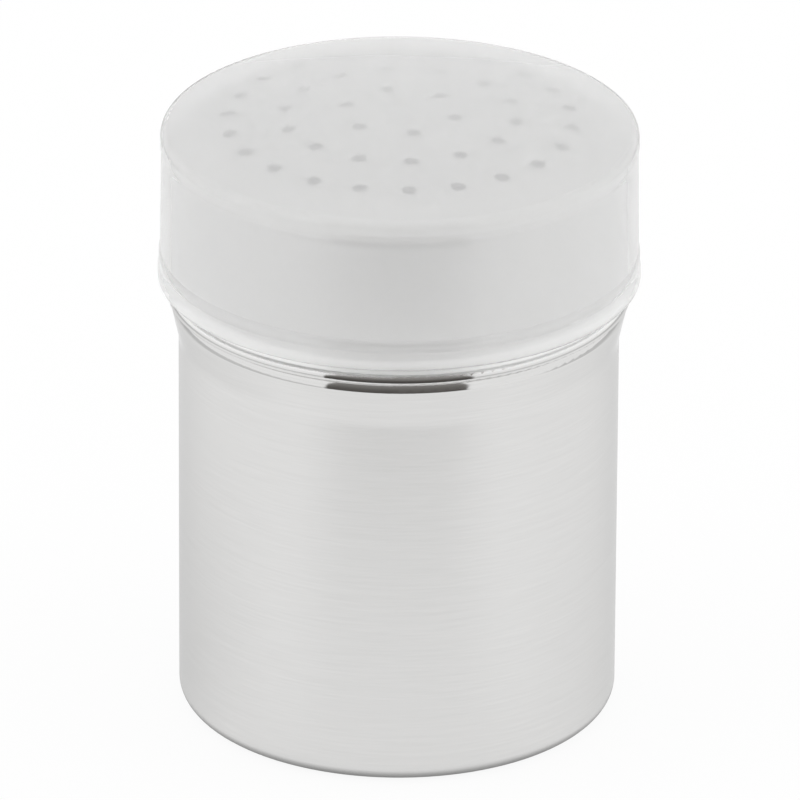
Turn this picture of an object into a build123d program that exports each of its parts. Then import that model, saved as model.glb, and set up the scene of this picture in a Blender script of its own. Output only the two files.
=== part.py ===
from build123d import *
from math import asin, cos, degrees, radians, sin
import os

# Spice shaker: a drawn steel cup, a perforated steel lid and a frosted press-on cover.
# Millimetres, +Z up. The origin is the centre of the plane that the cup stands on, and
# every piece is turned about Z. Heights are measured from that plane unless a comment
# says otherwise.

# Cup
CUP_DIAMETER = 65.5
CUP_SHEET = 0.5
BASE_CORNER = 2.8          # outer radius between the wall and the base
FOOT_RING_WIDTH = 2.4      # flat ring that the cup stands on
PANEL_RISE = 0.8           # the base panel is pushed up inside that ring
PANEL_BEND = 1.5
PANEL_SLOPE = 30.0         # degrees
WALL_TOP = 58.3            # height where the straight wall starts to flare
FLARE_BEND = 7.0
FLARE_SLOPE = 12.5         # degrees from upright
SHOULDER_PROJECTION = 1.07  # how far the shoulder stands out from the wall
SHOULDER_CREASE = 0.6      # tight bend where the flare meets the shoulder
SHOULDER_LEAN = 8.0        # degrees past upright where that bend ends
SHOULDER_BEND = 2.76
SHOULDER_TURN_IN = 38.0    # degrees past upright where the shoulder tightens to its ledge
LEDGE_BEND = 0.55
NECK_INSET = 0.3           # how far the neck lies inside the wall's radius
NECK_BEND = 0.1
NECK_HEIGHT = 11.0         # above the ledge that stops the lid

# Perforated lid
LID_SHEET = 0.5
LID_HEIGHT = 28.75         # from its rim on the ledge to the top of its dome
LID_FIT = 0.05             # radial clearance of the rim on the neck
LID_DOME = 186.0           # spherical radius of the dome
LID_SHOULDER_WIDTH = 7.0   # from the dome's edge out to the skirt
LID_SHOULDER = 10.3        # radius of the tighter curve from there down to the knuckle
LID_KNUCKLE = 2.6          # radius between that curve and the skirt
SKIRT_CLEARANCE = 0.95     # radial room between the neck and the skirt
RIM_PROJECTION = 0.55      # how far the curled rim stands out from the skirt
RIM_HEIGHT = 1.6
RIM_CROWN = 1.35           # radius of the rim's outer face
RIM_EDGE = 0.35            # radius of the rim's lower edge
RIM_LAND = 1.1             # height of the face that grips the neck
HOLE_DIAMETER = 2.2
HOLE_BEARING = 44.1        # degrees from +X; every ring has a hole on this line
HOLE_RING_INSETS = (18.6, 9.7, 1.4)  # from the dome's edge in to each ring of holes
HOLE_COUNTS = (6, 14, 22)

# Press-on cover
COVER_WALL = 0.7
COVER_HEADROOM = 0.12      # between the lid's dome and the cover
COVER_LIFT = 2.85          # from the lid's rim up to the cover's lower edge
COVER_CORNER = 1.4
COVER_ROOM = 0.82          # radial room between the lid's skirt and the cover's top corner
COVER_DRAFT = 0.8          # degrees
BEAD_HEIGHT = 0.9          # straight part of the bead round the cover's top edge
BEAD_BEND = 2.5
BEAD_SLOPE = 14.0          # degrees, where the bead runs in to the wall
RIDGE_LIFT = 3.7           # from the cover's lower edge up to the ridge and the snap rib
RIDGE_WIDTH = 1.9
RIDGE_RISE = 0.2
SNAP_RIB_WIDTH = 1.8
SNAP_FIT = 0.03            # radial clearance of the snap rib on the lid's skirt
FOOT_BAND = 1.2            # upright band at the cover's lower edge
FOOT_BEND = 1.9            # two bends of this radius step the wall out to the foot band
FOOT_SLOPE = 24.0          # degrees

# What follows from the sizes above
CUP_RADIUS = CUP_DIAMETER / 2
NECK_RADIUS = CUP_RADIUS - NECK_INSET
SHOULDER_RADIUS = CUP_RADIUS + SHOULDER_PROJECTION
LID_BORE = NECK_RADIUS + LID_FIT
RIM_LEAD = NECK_BEND + LID_FIT  # lead-in of the rim's bore, which clears the neck's bend
SKIRT_RADIUS = NECK_RADIUS + SKIRT_CLEARANCE + LID_SHEET
RIM_RADIUS = SKIRT_RADIUS + RIM_PROJECTION
DOME_EDGE = SKIRT_RADIUS - LID_SHOULDER_WIDTH
COVER_RADIUS = SKIRT_RADIUS + COVER_ROOM + COVER_WALL
COVER_DOME = LID_DOME + COVER_HEADROOM + COVER_WALL

ROOT = 0.2                 # how deep a moulded or rolled ring reaches into its wall


def direction(heading):
    """Unit vector of a heading in (radius, height)."""
    return Vector(cos(radians(heading)), sin(radians(heading)))


def turned(section):
    """Solid of revolution of a half section drawn in (radius, height)."""
    return revolve(Plane.XZ * section, axis=Axis.Z)


class ThinWall:
    """A wall of even thickness, drawn by walking along one of its faces in (radius, height).

    Headings are in degrees: 0 points away from the axis and 90 points up. A positive turn
    goes to the left. The wall's material lies to the left of the walk, or to its right
    where the thickness is negative.
    """

    def __init__(self, radius, height, heading):
        self.start = Vector(radius, height)
        self.start_heading = heading
        self.point = self.start
        self.heading = heading
        self.moves = []

    def straight(self, length):
        self.moves.append((length, 0.0))
        self.point = self.point + direction(self.heading) * length

    def to_height(self, height):
        self.straight((height - self.point.Y) / sin(radians(self.heading)))

    def to_radius(self, radius):
        self.straight((radius - self.point.X) / cos(radians(self.heading)))

    def bend(self, radius, turn):
        side = 1 if turn > 0 else -1
        centre = self.point + direction(self.heading + 90 * side) * radius
        self.moves.append((radius, turn))
        self.heading += turn
        self.point = centre - direction(self.heading + 90 * side) * radius

    def face_line(self, thickness):
        """Edges of the wall's face that lies thickness to the left of the walk."""
        edges = []
        heading = self.start_heading
        point = self.start + direction(heading + 90) * thickness
        for size, turn in self.moves:
            if turn == 0:
                edge = Line(point, point + direction(heading) * size)
            else:
                side = 1 if turn > 0 else -1
                edge = JernArc(point, direction(heading), size - side * thickness, turn)
            edges.append(edge)
            heading += turn
            point = edge @ 1
        return edges

    def section(self, thickness):
        """Half section of the wall, with a full round at the walk's end."""
        near = self.face_line(0)
        far = self.face_line(thickness)
        half_round = JernArc(near[-1] @ 1, direction(self.heading), abs(thickness) / 2,
                             180 if thickness > 0 else -180)
        return make_face([*near, half_round, *far, Line(near[0] @ 0, far[0] @ 0)])


def bend_to_skirt(wall, curve, knuckle, radius):
    """Bends the wall down along a curve and then a knuckle, to end straight down at radius."""
    slope = -wall.heading
    reach = radius - knuckle - wall.point.X + curve * sin(radians(slope))
    knuckle_slope = degrees(asin(reach / (curve - knuckle)))
    wall.bend(curve, slope - knuckle_slope)
    wall.bend(knuckle, knuckle_slope - 90)


def rounded_ring(radius, height, width, rise):
    """Ring of round section on a wall's face: outside it, or inside where rise is negative."""
    root = radius - ROOT if rise > 0 else radius + ROOT
    low = Vector(radius, height - width / 2)
    high = Vector(radius, height + width / 2)
    crest = ThreePointArc(low, Vector(radius + rise, height), high)
    back = Polyline(high, Vector(root, high.Y), Vector(root, low.Y), low)
    return turned(make_face([*crest.edges(), *back.edges()]))


def cup_wall():
    """The cup's outer face, from the middle of its base to the lip of its neck."""
    wall = ThinWall(0, PANEL_RISE, 0)
    ramp = (PANEL_RISE - 2 * PANEL_BEND * (1 - cos(radians(PANEL_SLOPE)))) / sin(radians(PANEL_SLOPE))
    ramp_width = 2 * PANEL_BEND * sin(radians(PANEL_SLOPE)) + ramp * cos(radians(PANEL_SLOPE))
    ring_radius = CUP_RADIUS - BASE_CORNER - FOOT_RING_WIDTH
    wall.to_radius(ring_radius - ramp_width)
    wall.bend(PANEL_BEND, -PANEL_SLOPE)
    wall.straight(ramp)
    wall.bend(PANEL_BEND, PANEL_SLOPE)
    wall.to_radius(CUP_RADIUS - BASE_CORNER)
    wall.bend(BASE_CORNER, 90)
    wall.to_height(WALL_TOP)
    wall.bend(FLARE_BEND, -FLARE_SLOPE)
    wall.to_radius(SHOULDER_RADIUS - SHOULDER_CREASE * (1 - cos(radians(FLARE_SLOPE))))
    wall.bend(SHOULDER_CREASE, FLARE_SLOPE + SHOULDER_LEAN)
    wall.bend(SHOULDER_BEND, SHOULDER_TURN_IN - SHOULDER_LEAN)
    wall.bend(LEDGE_BEND, 90 - SHOULDER_TURN_IN)
    wall.to_radius(NECK_RADIUS + NECK_BEND)
    ledge = wall.point.Y
    wall.bend(NECK_BEND, -90)
    wall.to_height(ledge + NECK_HEIGHT - CUP_SHEET / 2)
    return wall, ledge


def make_cup():
    wall, ledge = cup_wall()
    return turned(wall.section(CUP_SHEET)), ledge


def lid_rim(ledge):
    """The lid's curled rim, closed on itself, which grips the neck and stands on the ledge."""
    crown_drop = RIM_CROWN - RIM_PROJECTION
    crown_height = (RIM_CROWN ** 2 - crown_drop ** 2) ** 0.5
    crown_centre = Vector(RIM_RADIUS - RIM_CROWN, ledge + RIM_EDGE)
    crown_top = Vector(SKIRT_RADIUS, crown_centre.Y + crown_height)
    crown_middle = crown_centre + direction(degrees(asin(crown_height / RIM_CROWN)) / 2) * RIM_CROWN
    side = Vector(RIM_RADIUS, crown_centre.Y)
    bottom = Vector(RIM_RADIUS - RIM_EDGE, ledge)
    lead = Vector(LID_BORE + RIM_LEAD, ledge)
    land_top = Vector(LID_BORE, ledge + RIM_LAND)
    inner_skirt = SKIRT_RADIUS - LID_SHEET
    outline = [
        ThreePointArc(crown_top, crown_middle, side),
        JernArc(side, direction(-90), RIM_EDGE, -90),
        Line(bottom, lead),
        Line(lead, Vector(LID_BORE, ledge + RIM_LEAD)),
        Line(Vector(LID_BORE, ledge + RIM_LEAD), land_top),
        Line(land_top, Vector(inner_skirt + ROOT, ledge + RIM_HEIGHT + ROOT)),
        Line(Vector(inner_skirt + ROOT, ledge + RIM_HEIGHT + ROOT), crown_top),
    ]
    return turned(make_face(outline))


def lid_holes(ledge):
    """Upright pins that pierce the dome on every ring of holes."""
    pins = []
    for inset, count in zip(HOLE_RING_INSETS, HOLE_COUNTS):
        for turn in range(count):
            spot = direction(HOLE_BEARING + 360.0 * turn / count) * (DOME_EDGE - inset)
            pin = Cylinder(HOLE_DIAMETER / 2, LID_HEIGHT)
            pins.append(Pos(spot.X, spot.Y, ledge + LID_HEIGHT) * pin)
    return pins


def make_perforated_lid(ledge):
    wall = ThinWall(0, ledge + LID_HEIGHT, 0)
    wall.bend(LID_DOME, -degrees(asin(DOME_EDGE / LID_DOME)))
    bend_to_skirt(wall, LID_SHOULDER, LID_KNUCKLE, SKIRT_RADIUS)
    wall.to_height(ledge + RIM_HEIGHT)
    lid = turned(wall.section(-LID_SHEET)) + lid_rim(ledge)
    return lid - lid_holes(ledge)


def make_snap_cover(ledge):
    foot = ledge + COVER_LIFT
    ridge = foot + RIDGE_LIFT
    wall = ThinWall(0, ledge + LID_HEIGHT + COVER_HEADROOM + COVER_WALL, 0)
    bend_to_skirt(wall, COVER_DOME, COVER_CORNER, COVER_RADIUS)
    wall.straight(BEAD_HEIGHT)
    wall.bend(BEAD_BEND, -BEAD_SLOPE)
    wall.bend(BEAD_BEND, BEAD_SLOPE + COVER_DRAFT)
    wall.to_height(ridge)
    ridge_radius = wall.point.X
    wall.to_height(foot + FOOT_BAND + 2 * FOOT_BEND * sin(radians(FOOT_SLOPE)))
    wall.bend(FOOT_BEND, FOOT_SLOPE - COVER_DRAFT)
    wall.bend(FOOT_BEND, -FOOT_SLOPE)
    wall.to_height(foot + COVER_WALL / 2)
    cover = turned(wall.section(-COVER_WALL))
    cover += rounded_ring(ridge_radius, ridge, RIDGE_WIDTH, RIDGE_RISE)
    inner_face = ridge_radius - COVER_WALL
    rib_rise = SKIRT_RADIUS + SNAP_FIT - inner_face
    cover += rounded_ring(inner_face, ridge, SNAP_RIB_WIDTH, rib_rise)
    return cover


def main():
    os.makedirs("parts", exist_ok=True)
    cup, ledge = make_cup()
    nodes = {
        "cup": cup,
        "perforated_lid": make_perforated_lid(ledge),
        "snap_cover": make_snap_cover(ledge),
    }
    for name, solid in nodes.items():
        solid.label = name
        export_step(solid, f"parts/{name}.step")
        box = solid.bounding_box()
        print(f"{name}: {len(solid.solids())} solid, {box.min.Z:.2f} to {box.max.Z:.2f} mm high, "
              f"{box.size.X:.2f} mm across")


main()
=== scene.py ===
import math

import bpy
from mathutils import Matrix, Vector

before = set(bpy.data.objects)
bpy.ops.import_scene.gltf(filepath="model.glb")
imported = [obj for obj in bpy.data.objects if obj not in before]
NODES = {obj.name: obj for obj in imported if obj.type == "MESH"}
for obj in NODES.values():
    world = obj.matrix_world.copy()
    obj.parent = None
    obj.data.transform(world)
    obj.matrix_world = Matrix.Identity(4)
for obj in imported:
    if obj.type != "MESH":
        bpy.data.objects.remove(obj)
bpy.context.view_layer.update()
MM = 0.001
WHITE = (1, 1, 1, 1)

# Brushing on the steel: noise cells along the turn, and for each metre across it
FINE_MARKS = (5.0, 14000.0)
COARSE_MARKS = (2.2, 2600.0)
CLOUD_SCALE = 45.0
STEEL_TINT = (0.75, 0.747, 0.74)
DEEP_MARK = 0.945          # share of that tint in the deepest marks
# Lighter tint painted into the lid's bend above its hem: painted light against the shade between hem
# and cover
BEND_PAINTED_LIGHT = (0.93, 0.93, 0.925, 1)
POLISHED_ROUGHNESS = 0.06
BRUSHED_ROUGHNESS = 0.14   # added where the steel isn't polished
CLOUD_ROUGHNESS = 0.06     # added in patches
COARSE_ROUGHNESS = 0.15    # added above the lid's hem

# Heights on the steel: the cup is polished from its flare up, the lid on its hem
CUP_POLISH = (58.6 * MM, 90 * MM)
LID_POLISH = (60 * MM, 66.3 * MM)
LID_COARSE_TO = 68.5 * MM

# Painted shade in what polished surfaces see of the floor. Bearings are in radians from straight
# before the object, on either side, and radii and places in metres.
FRONT_BEARINGS = (0.35, 0.95)
FRONT_PLACES = (-0.03, -0.17)
FRONT_SHADES = (0.03, 0.1)
BACK_BEARINGS = (1.7, 2.7)
BACK_SHADE = 0.1
NEAR_RADII = (0.033, 0.14)
NEAR_BEARINGS = (0.8, 1.8)
NEAR_PLACES = (-0.03, 0.03)
NEAR_SHADES = (0.16, 0.07)  # on the left and on the right
FAR_RADII = (0.22, 0.45)
FAR_SHADE = 0.5
CONTACT_RADII = (0.0315, 0.0345)
CONTACT_SHADE = 0.65
MIRRORED_SHARE = 0.7
SHOWN_SHARE = 0.9          # share of plain white that the camera sees in the floor

# The tent's opening, in metres on its card
OPENING_SIZE = (0.34, 0.306)
OPENING_PLACE = (0, -0.24, 0.154)
OPENING_HEIGHTS = (-0.153, 0.14)
OPENING_LOW = (0.07, 0.065, 0.06, 1)
OPENING_HIGH = (0.3, 0.29, 0.28, 1)
OPENING_EDGES = (0.148, 0.164)
OPENING_LEAN = 0.06

LAMP_SIZE = (0.9, 0.75)
LAMP_AIM = (0, 0, 0.06)


# ---------------------------------------------------------------- node helpers
class Tree:
    """A material's node tree, built by short calls."""

    def __init__(self, name):
        self.material = bpy.data.materials.new(name)
        self.material.use_nodes = True
        self.nodes = self.material.node_tree.nodes
        self.links = self.material.node_tree.links
        self.nodes.clear()
        self.output = self.nodes.new("ShaderNodeOutputMaterial")

    def add(self, kind, inputs=None, **settings):
        node = self.nodes.new("ShaderNode" + kind)
        for key, value in settings.items():
            setattr(node, key, value)
        for key, value in (inputs or {}).items():
            if isinstance(value, bpy.types.NodeSocket):
                self.links.new(value, node.inputs[key])
            else:
                node.inputs[key].default_value = value
        return node

    def math(self, operation, a, b=0.0):
        return self.add("Math", {0: a, 1: b}, operation=operation).outputs[0]

    def span(self, value, low, high, out_low=0.0, out_high=1.0, smooth=True):
        """Maps value from low..high to out_low..out_high."""
        node = self.add("MapRange", {0: value, 1: low, 2: high, 3: out_low, 4: out_high})
        node.interpolation_type = "SMOOTHSTEP" if smooth else "LINEAR"
        return node.outputs[0]

    def mix(self, share, first, second):
        return self.add("MixRGB", {0: share, 1: first, 2: second}).outputs[0]

    def mix_shader(self, share, first, second):
        return self.add("MixShader", {0: share, 1: first, 2: second}).outputs[0]

    def emission(self, colour, strength):
        return self.add("Emission", {"Color": colour, "Strength": strength}).outputs[0]

    def noise(self, vector, scale, detail, rough):
        return self.add("TexNoise", {"Vector": vector, "Scale": scale, "Detail": detail,
                                     "Roughness": rough}).outputs[0]

    def place(self):
        """Place on the object, in metres."""
        return self.add("TexCoord").outputs["Object"]

    def length(self, xyz):
        """Distance of a place from the Z axis."""
        flat = self.add("CombineXYZ", {0: xyz[0], 1: xyz[1]}).outputs[0]
        return self.add("VectorMath", {0: flat}, operation="LENGTH").outputs["Value"]

    def surface(self, shader):
        self.links.new(shader, self.output.inputs["Surface"])


def turned_vector(tree, xyz, radius, marks):
    """Vector for marks that run round the axis: slow along the turn, fast across it."""
    along, across = marks
    angle = tree.math("ARCTAN2", xyz[1], xyz[0])
    cosine = tree.math("MULTIPLY", tree.math("COSINE", angle), along)
    sine = tree.math("MULTIPLY", tree.math("SINE", angle), along)
    step = tree.math("MULTIPLY", tree.math("SUBTRACT", xyz[2], radius), across)
    return tree.add("CombineXYZ", {0: cosine, 1: sine, 2: step}).outputs[0]


# ---------------------------------------------------------------- materials
def steel(name, polish, coarse_to=0.0):
    """Stainless steel brushed round the axis, more polished between two heights.

    Above the polished part the brushing is coarser up to coarse_to, and a lighter tint is painted into
    the bend as a painted highlight against the shade there.
    """
    tree = Tree(name)
    place = tree.place()
    xyz = tree.add("SeparateXYZ", {0: place}).outputs
    height = xyz[2]
    radius = tree.length(xyz)
    fine = tree.noise(turned_vector(tree, xyz, radius, FINE_MARKS), 1.0, 2.0, 0.6)
    coarse = tree.noise(turned_vector(tree, xyz, radius, COARSE_MARKS), 1.0, 3.0, 0.6)
    cloud = tree.noise(place, CLOUD_SCALE, 3.0, 0.55)
    lines = tree.math("ADD", tree.math("MULTIPLY", fine, 0.6), tree.math("MULTIPLY", coarse, 0.4))

    polish_from, polish_to = polish
    polished = tree.math("MULTIPLY",
                         tree.span(height, polish_from - 1.2 * MM, polish_from + 0.6 * MM),
                         tree.span(height, polish_to, polish_to + 1.0 * MM, 1.0, 0.0))
    brushed = tree.math("SUBTRACT", 1.0, polished)
    roughness = tree.math("ADD", tree.math("MULTIPLY", brushed, BRUSHED_ROUGHNESS),
                          tree.math("MULTIPLY", cloud, CLOUD_ROUGHNESS))
    roughness = tree.math("ADD", roughness, POLISHED_ROUGHNESS)
    tint = tree.mix(tree.span(lines, 0.3, 0.7), (*[c * DEEP_MARK for c in STEEL_TINT], 1),
                    (*STEEL_TINT, 1))
    if coarse_to:
        above = tree.span(height, polish_to, polish_to + 0.6 * MM)
        up_to = tree.span(height, coarse_to, coarse_to + 1.5 * MM, COARSE_ROUGHNESS, 0.0)
        roughness = tree.math("ADD", roughness, tree.math("MULTIPLY", above, up_to))
        # Painted highlight: the bend just above the hem gets a lighter tint to offset its shade
        bend = tree.span(height, coarse_to - 0.9 * MM, coarse_to - 0.3 * MM, 1.0, 0.0)
        tint = tree.mix(tree.math("MULTIPLY", above, bend), tint, BEND_PAINTED_LIGHT)

    bump = tree.add("Bump", {"Strength": tree.math("MULTIPLY", brushed, 0.12),
                             "Distance": 0.00004, "Height": lines})
    tangent = tree.add("Tangent", direction_type="RADIAL", axis="Z")
    shader = tree.add("BsdfPrincipled", {
        "Base Color": tint, "Metallic": 1.0, "Roughness": roughness,
        "Anisotropic": 0.4, "Anisotropic Rotation": 0.25,
        "Specular Tint": (0.85, 0.85, 0.85, 1),
        "Normal": bump.outputs[0], "Tangent": tangent.outputs[0]})
    tree.surface(shader.outputs[0])
    return tree.material


def frosted_plastic(name):
    """Frosted, translucent polyethylene with a faint moulded grain."""
    tree = Tree(name)
    place = tree.place()
    grain = tree.noise(place, 2600.0, 3.0, 0.6)
    flow = tree.noise(place, 60.0, 3.0, 0.5)
    bump = tree.add("Bump", {"Strength": 0.15, "Distance": 0.00003, "Height": grain})
    shader = tree.add("BsdfPrincipled", {
        "Base Color": tree.mix(flow, (0.96, 0.96, 0.96, 1), (0.985, 0.985, 0.98, 1)),
        "Roughness": tree.span(flow, 0.3, 0.7, 0.22, 0.25), "IOR": 1.22,
        "Transmission Weight": 0.66, "Coat Weight": 0.6, "Coat Roughness": 0.18,
        "Normal": bump.outputs[0]})
    tree.surface(shader.outputs[0])
    return tree.material


def dress(node, material):
    for slot in NODES[node].material_slots:
        slot.material = material


dress("cup", steel("cup_steel", CUP_POLISH))
dress("perforated_lid", steel("lid_steel", LID_POLISH, LID_COARSE_TO))
dress("snap_cover", frosted_plastic("frosted_plastic"))


# ---------------------------------------------------------------- stage and light
def plane(name, size, place, material, turn=None):
    half_x, half_y = size[0] / 2, size[1] / 2
    mesh = bpy.data.meshes.new(name)
    corners = [(-half_x, -half_y, 0), (half_x, -half_y, 0), (half_x, half_y, 0), (-half_x, half_y, 0)]
    mesh.from_pydata(corners, [], [(0, 1, 2, 3)])
    mesh.materials.append(material)
    item = bpy.data.objects.new(name, mesh)
    bpy.context.scene.collection.objects.link(item)
    item.matrix_world = Matrix.Translation(place) @ (turn or Matrix.Identity(4))
    return item


def floor_material():
    """Pale floor that shows white, and still keeps the object's shadow.

    Polished surfaces see painted shade in it, a little darker towards the tent's opening, at the back,
    far away and close round the object, with a painted contact shadow at its foot.
    """
    tree = Tree("floor_white")
    xyz = tree.add("SeparateXYZ", {0: tree.place()}).outputs
    radius = tree.length(xyz)
    bearing = tree.math("ARCTAN2", tree.math("ABSOLUTE", xyz[0]), tree.math("MULTIPLY", xyz[1], -1.0))
    front = tree.math("MULTIPLY", tree.span(bearing, *FRONT_BEARINGS, 1.0, 0.0),
                      tree.span(xyz[1], *FRONT_PLACES, *FRONT_SHADES, smooth=False))
    back = tree.span(bearing, *BACK_BEARINGS, 0.0, BACK_SHADE)
    # Painted shadow of the object on the floor beside it, darker on the left, seen only in reflections
    beside = tree.math("MULTIPLY", tree.span(bearing, *NEAR_BEARINGS),
                       tree.span(xyz[0], *NEAR_PLACES, *NEAR_SHADES))
    near = tree.math("MULTIPLY", tree.span(radius, *NEAR_RADII, 1.0, 0.0, smooth=False), beside)
    far = tree.span(radius, *FAR_RADII, 0.0, FAR_SHADE)
    # Painted contact shadow in a thin ring round the object's foot
    contact = tree.span(radius, *CONTACT_RADII, CONTACT_SHADE, 0.0)
    tone = 1.0
    for shade in (front, back, near, far, contact):
        tone = tree.math("SUBTRACT", tone, shade)

    lit = tree.add("BsdfDiffuse", {"Color": (0.88, 0.88, 0.88, 1)}).outputs[0]
    path = tree.add("LightPath").outputs
    bounced = tree.math("MAXIMUM", path["Is Glossy Ray"], path["Is Transmission Ray"])
    surface = tree.mix_shader(tree.math("MULTIPLY", bounced, MIRRORED_SHARE), lit,
                              tree.emission(WHITE, tone))
    surface = tree.mix_shader(tree.math("MULTIPLY", path["Is Camera Ray"], SHOWN_SHARE), surface,
                              tree.emission(WHITE, 1.0))
    tree.surface(surface)
    return tree.material


def tent_opening_material():
    """The dim room behind the tent's opening, lighter towards its top, with soft sides."""
    tree = Tree("dim_room")
    xyz = tree.add("SeparateXYZ", {0: tree.place()}).outputs
    tone = tree.mix(tree.span(xyz[1], *OPENING_HEIGHTS), OPENING_LOW, OPENING_HIGH)
    lean = tree.math("ADD", tree.math("ABSOLUTE", xyz[0]), tree.math("MULTIPLY", xyz[1], OPENING_LEAN))
    tone = tree.mix(tree.span(lean, *OPENING_EDGES), tone, WHITE)
    tree.surface(tree.emission(tone, 1.0))
    return tree.material


def softbox(name, place, power):
    """Wide lamp at one side, which mirrors and clear plastic don't show."""
    data = bpy.data.lights.new(name, "AREA")
    data.shape = "RECTANGLE"
    data.size, data.size_y = LAMP_SIZE
    data.energy = power
    lamp = bpy.data.objects.new(name, data)
    bpy.context.scene.collection.objects.link(lamp)
    lamp.location = place
    lamp.visible_glossy = False
    lamp.visible_transmission = False
    lamp.rotation_euler = (Vector(LAMP_AIM) - Vector(place)).to_track_quat("-Z", "Y").to_euler()


def world_light(sides, above, mirrored):
    """Even fill from a white tent, brighter at its sides; polished surfaces see it as white."""
    world = bpy.data.worlds.new("studio")
    bpy.context.scene.world = world
    world.use_nodes = True
    nodes, links = world.node_tree.nodes, world.node_tree.links
    nodes.clear()
    place = nodes.new("ShaderNodeTexCoord")
    xyz = nodes.new("ShaderNodeSeparateXYZ")
    links.new(place.outputs["Generated"], xyz.inputs[0])
    fill = nodes.new("ShaderNodeMapRange")
    links.new(xyz.outputs[2], fill.inputs[0])
    fill.inputs[3].default_value = sides
    fill.inputs[4].default_value = above
    path = nodes.new("ShaderNodeLightPath")
    level = fill.outputs[0]
    for ray, strength in (("Is Glossy Ray", mirrored), ("Is Transmission Ray", mirrored),
                          ("Is Camera Ray", 1.0)):
        pick = nodes.new("ShaderNodeMix")
        pick.data_type = "FLOAT"
        links.new(path.outputs[ray], pick.inputs["Factor"])
        links.new(level, pick.inputs["A"])
        pick.inputs["B"].default_value = strength
        level = pick.outputs[0]
    background = nodes.new("ShaderNodeBackground")
    background.inputs["Color"].default_value = WHITE
    links.new(level, background.inputs["Strength"])
    out = nodes.new("ShaderNodeOutputWorld")
    links.new(background.outputs[0], out.inputs["Surface"])


plane("floor", (6.0, 6.0), (0, 0, -0.00005), floor_material())
world_light(1.8, 0.6, 1.0)
softbox("left_light", (-1.0, -0.15, 0.5), 2.4)
softbox("right_light", (1.0, -0.15, 0.5), 2.6)

# The dark opening of the tent before the object, which polished steel shows as a dark band.
card = plane("tent_opening", OPENING_SIZE, OPENING_PLACE, tent_opening_material(),
             Matrix.Rotation(math.radians(90), 4, "X"))
card.visible_camera = False
card.visible_diffuse = False
card.visible_shadow = False

# ---------------------------------------------------------------- camera
ELEVATION = math.radians(24.45)
ROLL = math.radians(0.33)
DISTANCE = 1.8714
TARGET = Vector((0, 0, 0.04766))
data = bpy.data.cameras.new("camera")
data.sensor_width = 36.0
data.lens = 565.0
data.shift_x = 0.0019
data.clip_start = 0.05
camera = bpy.data.objects.new("camera", data)
bpy.context.scene.collection.objects.link(camera)
look = Vector((0, -math.cos(ELEVATION), math.sin(ELEVATION)))
camera.matrix_world = (Matrix.Translation(TARGET + look * DISTANCE)
                       @ look.to_track_quat("Z", "Y").to_matrix().to_4x4()
                       @ Matrix.Rotation(ROLL, 4, "Z"))
scene = bpy.context.scene
scene.camera = camera
scene.view_settings.view_transform = "Standard"
